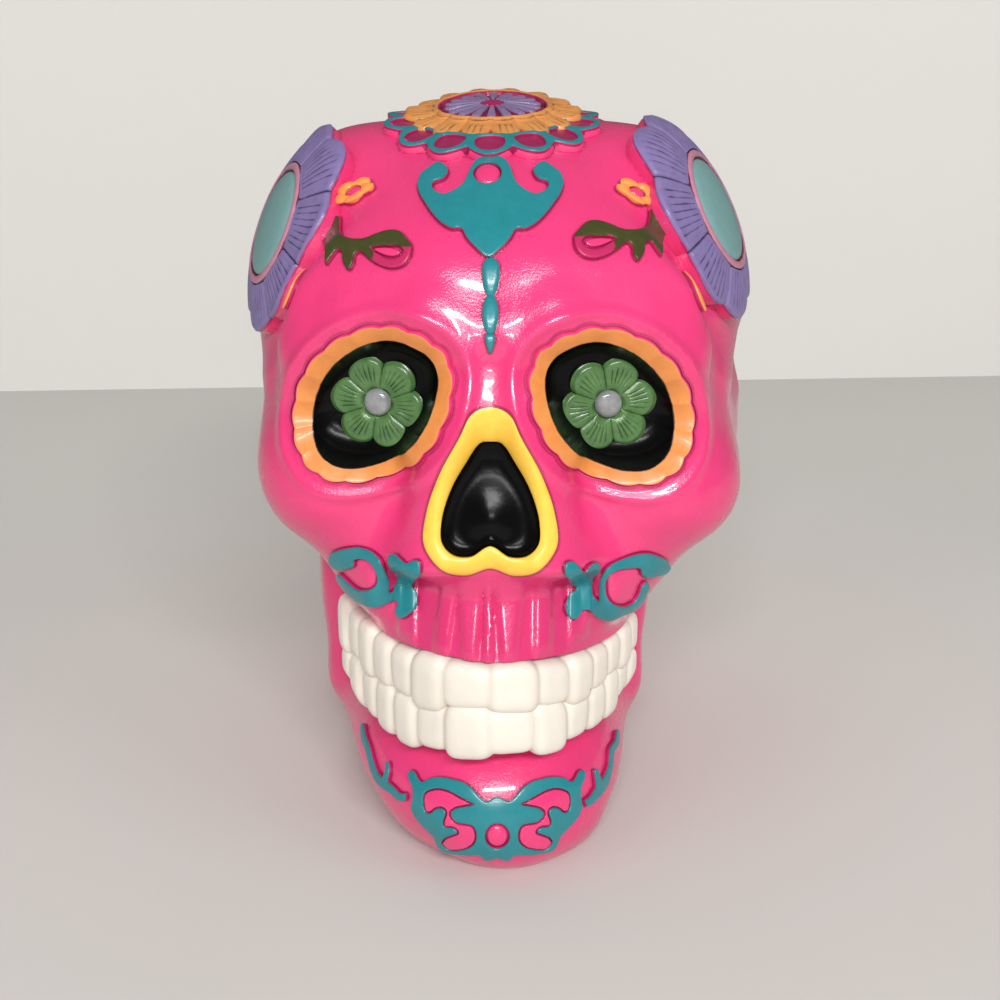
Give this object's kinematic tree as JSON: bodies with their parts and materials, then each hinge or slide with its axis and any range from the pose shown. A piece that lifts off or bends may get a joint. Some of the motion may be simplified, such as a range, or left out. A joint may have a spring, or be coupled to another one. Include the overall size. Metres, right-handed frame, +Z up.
{
  "type": "decorative skull",
  "caption": "Glossy painted sugar-skull ornament: pink cast skull with raised flowers, scrolls and a lace crown, scalloped eye sockets, heart nose and white teeth, on a flat base.",
  "frame": {"origin": "on the table, under the middle of the skull's length and width", "axes": "+Z up, face toward -Y, the skull's left-right width along X"},
  "size_m": [0.1044, 0.1371, 0.1405],
  "materials": {
    "pink_paint": "gloss",
    "teal_paint": "gloss",
    "orange_paint": "satin",
    "yellow_paint": "satin",
    "black_paint": "gloss",
    "green_paint": "satin",
    "vine_paint": "satin",
    "purple_paint": "satin",
    "turquoise_paint": "satin",
    "grey_paint": "gloss",
    "white_paint": "satin"
  },
  "bodies": {
    "root": {"cranium": "pink_paint", "mandible": "pink_paint", "upper_teeth": "white_paint", "lower_teeth": "white_paint", "eye_rim_left": "orange_paint", "eye_rim_right": "orange_paint", "eye_bowl_left": "black_paint", "eye_bowl_right": "black_paint", "eye_flower_left": "green_paint", "eye_flower_right": "green_paint", "eye_bead_left": "grey_paint", "eye_bead_right": "grey_paint", "nose_rim": "yellow_paint", "nose_floor": "black_paint", "crown_plate": "pink_paint", "crown_lace": "teal_paint", "crown_sunflower": "orange_paint", "crown_rosette": "purple_paint", "crown_bead": "pink_paint", "temple_plate_left": "pink_paint", "temple_plate_right": "pink_paint", "temple_petals_left": "purple_paint", "temple_petals_right": "purple_paint", "temple_ring_left": "pink_paint", "temple_ring_right": "pink_paint", "temple_stone_left": "turquoise_paint", "temple_stone_right": "turquoise_paint", "forehead_crest": "teal_paint", "forehead_boss": "pink_paint", "forehead_drop_1": "teal_paint", "forehead_drop_2": "teal_paint", "forehead_drop_3": "teal_paint", "brow_flower_left": "orange_paint", "brow_flower_right": "orange_paint", "brow_flower_bead_left": "pink_paint", "brow_flower_bead_right": "pink_paint", "brow_vine_left": "vine_paint", "brow_vine_right": "vine_paint", "brow_leaf_left": "pink_paint", "brow_leaf_right": "pink_paint", "temple_bud_left": "orange_paint", "temple_bud_right": "orange_paint", "cheek_scroll_left": "teal_paint", "cheek_scroll_right": "teal_paint", "chin_crest": "teal_paint", "chin_boss": "pink_paint", "chin_wave_left": "teal_paint", "chin_wave_right": "teal_paint"}
  },
  "joints": []
}
